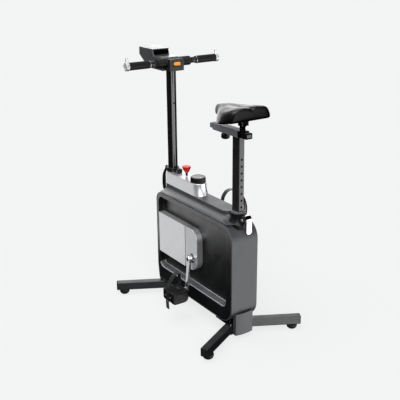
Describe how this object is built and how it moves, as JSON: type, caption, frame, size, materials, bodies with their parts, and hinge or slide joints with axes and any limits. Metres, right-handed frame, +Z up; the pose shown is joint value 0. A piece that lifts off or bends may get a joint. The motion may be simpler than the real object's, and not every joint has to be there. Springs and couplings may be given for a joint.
{
  "type": "folding exercise bike",
  "caption": "Folding upright exercise bike: slim closed case on swing-out legs, telescopic handlebar and seat posts, cranks with strapped pedals, dial and stop knob.",
  "frame": {"origin": "on the floor, under the middle of the whole bike's box", "axes": "+Z up, -Y the way the rider faces, +X the rider's left; the crank axle runs along X"},
  "size_m": [0.554, 0.8942, 1.2249],
  "materials": {
    "case_grey": "satin graphite grey",
    "leg_paint": "satin graphite grey",
    "foot_rubber": "matt",
    "pin_steel": "plain turned steel",
    "silver_paint": "satin silver paint",
    "frame_steel": "black powder coat",
    "drive_plastic": "moulded",
    "belt_rubber": "matt",
    "flywheel_iron": "turned rim",
    "crank_metal": "plated",
    "pedal_plastic": "moulded",
    "strap_rubber": "matt",
    "dial_plastic": "satin",
    "cable_plastic": "smooth",
    "knob_red": "gloss",
    "post_black": "gloss black",
    "collar_plastic": "moulded",
    "yoke_plastic": "moulded",
    "button_orange": "satin",
    "polished_metal": "polished",
    "grip_foam": "foam",
    "display_glass": "clear gloss",
    "post_grey": "satin",
    "saddle_vinyl": "smooth vinyl"
  },
  "bodies": {
    "frame": {"main_frame": "frame_steel", "body_band": "case_grey", "left_side_panel": "case_grey", "right_side_panel": "case_grey", "spine_cover": "case_grey", "control_bar": "silver_paint", "left_belt_cover": "silver_paint", "right_belt_cover": "silver_paint", "front_bracket": "case_grey", "rear_bracket": "case_grey", "front_left_leg_pin": "pin_steel", "front_right_leg_pin": "pin_steel", "rear_left_leg_pin": "pin_steel", "rear_right_leg_pin": "pin_steel", "bottom_bracket": "pin_steel", "flywheel_axle": "pin_steel", "drive_belt": "belt_rubber", "tension_cable": "cable_plastic", "brake_spring": "pin_steel", "handlebar_collar": "collar_plastic", "seat_sleeve": "collar_plastic"},
    "cranks": {"crank_axle": "pin_steel", "drive_pulley": "drive_plastic", "left_crank": "crank_metal", "right_crank": "crank_metal", "left_pedal_axle": "pin_steel", "right_pedal_axle": "pin_steel"},
    "flywheel_body": {"flywheel": "flywheel_iron"},
    "left_pedal_body": {"left_pedal": "pedal_plastic", "left_strap": "strap_rubber"},
    "right_pedal_body": {"right_pedal": "pedal_plastic", "right_strap": "strap_rubber"},
    "dial_body": {"resistance_dial": "dial_plastic"},
    "magnet_body": {"magnet_arm": "pin_steel"},
    "stop_body": {"stop_knob": "knob_red", "brake_rod": "pin_steel"},
    "handlebar_body": {"handlebar_post": "post_black", "handlebar_yoke": "yoke_plastic", "console_body": "yoke_plastic", "console_display": "display_glass"},
    "button_body": {"release_button": "button_orange"},
    "left_arm_body": {"left_handle_arm": "polished_metal", "left_grip": "grip_foam"},
    "right_arm_body": {"right_handle_arm": "polished_metal", "right_grip": "grip_foam"},
    "handlebar_lever_body": {"handlebar_lever": "collar_plastic"},
    "seat_post_body": {"seat_post": "post_grey"},
    "seat_lever_body": {"seat_lever": "polished_metal"},
    "rail_body": {"saddle_rail": "post_grey"},
    "rail_knob_body": {"rail_knob": "collar_plastic"},
    "saddle_body": {"saddle_base": "collar_plastic", "saddle_cushion": "saddle_vinyl"},
    "front_left_leg_body": {"front_left_leg": "leg_paint", "front_left_foot": "foot_rubber"},
    "front_right_leg_body": {"front_right_leg": "leg_paint", "front_right_foot": "foot_rubber"},
    "rear_left_leg_body": {"rear_left_leg": "leg_paint", "rear_left_foot": "foot_rubber"},
    "rear_right_leg_body": {"rear_right_leg": "leg_paint", "rear_right_foot": "foot_rubber"}
  },
  "joints": [
    {"name": "front_left_leg_fold", "type": "hinge", "parent": "frame", "child": "front_left_leg_body", "pos_m": [0.045, -0.24108, 0.0638], "axis": [0, 0, 1], "range_deg": [0, 118]},
    {"name": "front_right_leg_fold", "type": "hinge", "parent": "frame", "child": "front_right_leg_body", "pos_m": [-0.045, -0.24108, 0.0638], "axis": [0, 0, -1], "range_deg": [0, 118]},
    {"name": "rear_left_leg_fold", "type": "hinge", "parent": "frame", "child": "rear_left_leg_body", "pos_m": [0.045, 0.31292, 0.0638], "axis": [0, 0, -1], "range_deg": [0, 118]},
    {"name": "rear_right_leg_fold", "type": "hinge", "parent": "frame", "child": "rear_right_leg_body", "pos_m": [-0.045, 0.31292, 0.0638], "axis": [0, 0, 1], "range_deg": [0, 118]},
    {"name": "crank_turn", "type": "hinge", "parent": "frame", "child": "cranks", "pos_m": [0, 0.03592, 0.29], "axis": [1, 0, 0], "continuous": true},
    {"name": "flywheel_turn", "type": "hinge", "parent": "frame", "child": "flywheel_body", "pos_m": [0, -0.10408, 0.39], "axis": [1, 0, 0], "continuous": true},
    {"name": "left_pedal_turn", "type": "hinge", "parent": "cranks", "child": "left_pedal_body", "pos_m": [0, 0.03592, 0.142], "axis": [1, 0, 0], "continuous": true},
    {"name": "right_pedal_turn", "type": "hinge", "parent": "cranks", "child": "right_pedal_body", "pos_m": [0, 0.03592, 0.438], "axis": [1, 0, 0], "continuous": true},
    {"name": "dial_turn", "type": "hinge", "parent": "frame", "child": "dial_body", "pos_m": [0, -0.00708, 0.6456], "axis": [0, 0, 1], "range_deg": [0, 270]},
    {"name": "magnet_swing", "type": "hinge", "parent": "frame", "child": "magnet_body", "pos_m": [0, -0.01868, 0.4316], "axis": [-1, 0, 0], "range_deg": [0, 12.5], "deforming": ["tension_cable"]},
    {"name": "stop_push", "type": "slide", "parent": "frame", "child": "stop_body", "axis": [0, 0, 1], "range_m": [-0.005, 0], "stiffness_N_per_m": 800, "springref_m": 0.002, "deforming": ["brake_spring"]},
    {"name": "handlebar_height", "type": "slide", "parent": "frame", "child": "handlebar_body", "axis": [0, 0, 1], "range_m": [-0.38, 0.02]},
    {"name": "release_push", "type": "slide", "parent": "handlebar_body", "child": "button_body", "axis": [0, -1, 0], "range_m": [0, 0.004], "stiffness_N_per_m": 400, "springref_m": -0.001},
    {"name": "left_arm_fold", "type": "hinge", "parent": "handlebar_body", "child": "left_arm_body", "pos_m": [0.11, -0.20908, 1.175], "axis": [0, 1, 0], "range_deg": [0, 90]},
    {"name": "right_arm_fold", "type": "hinge", "parent": "handlebar_body", "child": "right_arm_body", "pos_m": [-0.11, -0.20908, 1.175], "axis": [0, -1, 0], "range_deg": [0, 90]},
    {"name": "handlebar_lever_swing", "type": "hinge", "parent": "frame", "child": "handlebar_lever_body", "pos_m": [0, -0.26988, 0.6561], "axis": [-1, 0, 0], "range_deg": [0, 110]},
    {"name": "seat_height", "type": "slide", "parent": "frame", "child": "seat_post_body", "axis": [0, 0, 1], "range_m": [-0.245, 0.12]},
    {"name": "seat_lever_swing", "type": "hinge", "parent": "frame", "child": "seat_lever_body", "pos_m": [0, 0.35442, 0.5681], "axis": [1, 0, 0], "range_deg": [0, 110]},
    {"name": "saddle_slide", "type": "slide", "parent": "seat_post_body", "child": "rail_body", "axis": [0, 1, 0], "range_m": [0, 0.06]},
    {"name": "rail_knob_turn", "type": "hinge", "parent": "seat_post_body", "child": "rail_knob_body", "pos_m": [0, 0.20992, 0.93], "axis": [0, 0, 1], "range_deg": [0, 360]},
    {"name": "saddle_tilt", "type": "hinge", "parent": "rail_body", "child": "saddle_body", "pos_m": [0, 0.33642, 0.9876], "axis": [1, 0, 0], "range_deg": [-10, 10]}
  ],
  "couplings": [
    {"joint": "flywheel_turn", "follows": "crank_turn", "ratio": 6.1765},
    {"joint": "magnet_swing", "follows": "dial_turn", "ratio": 0.045}
  ]
}
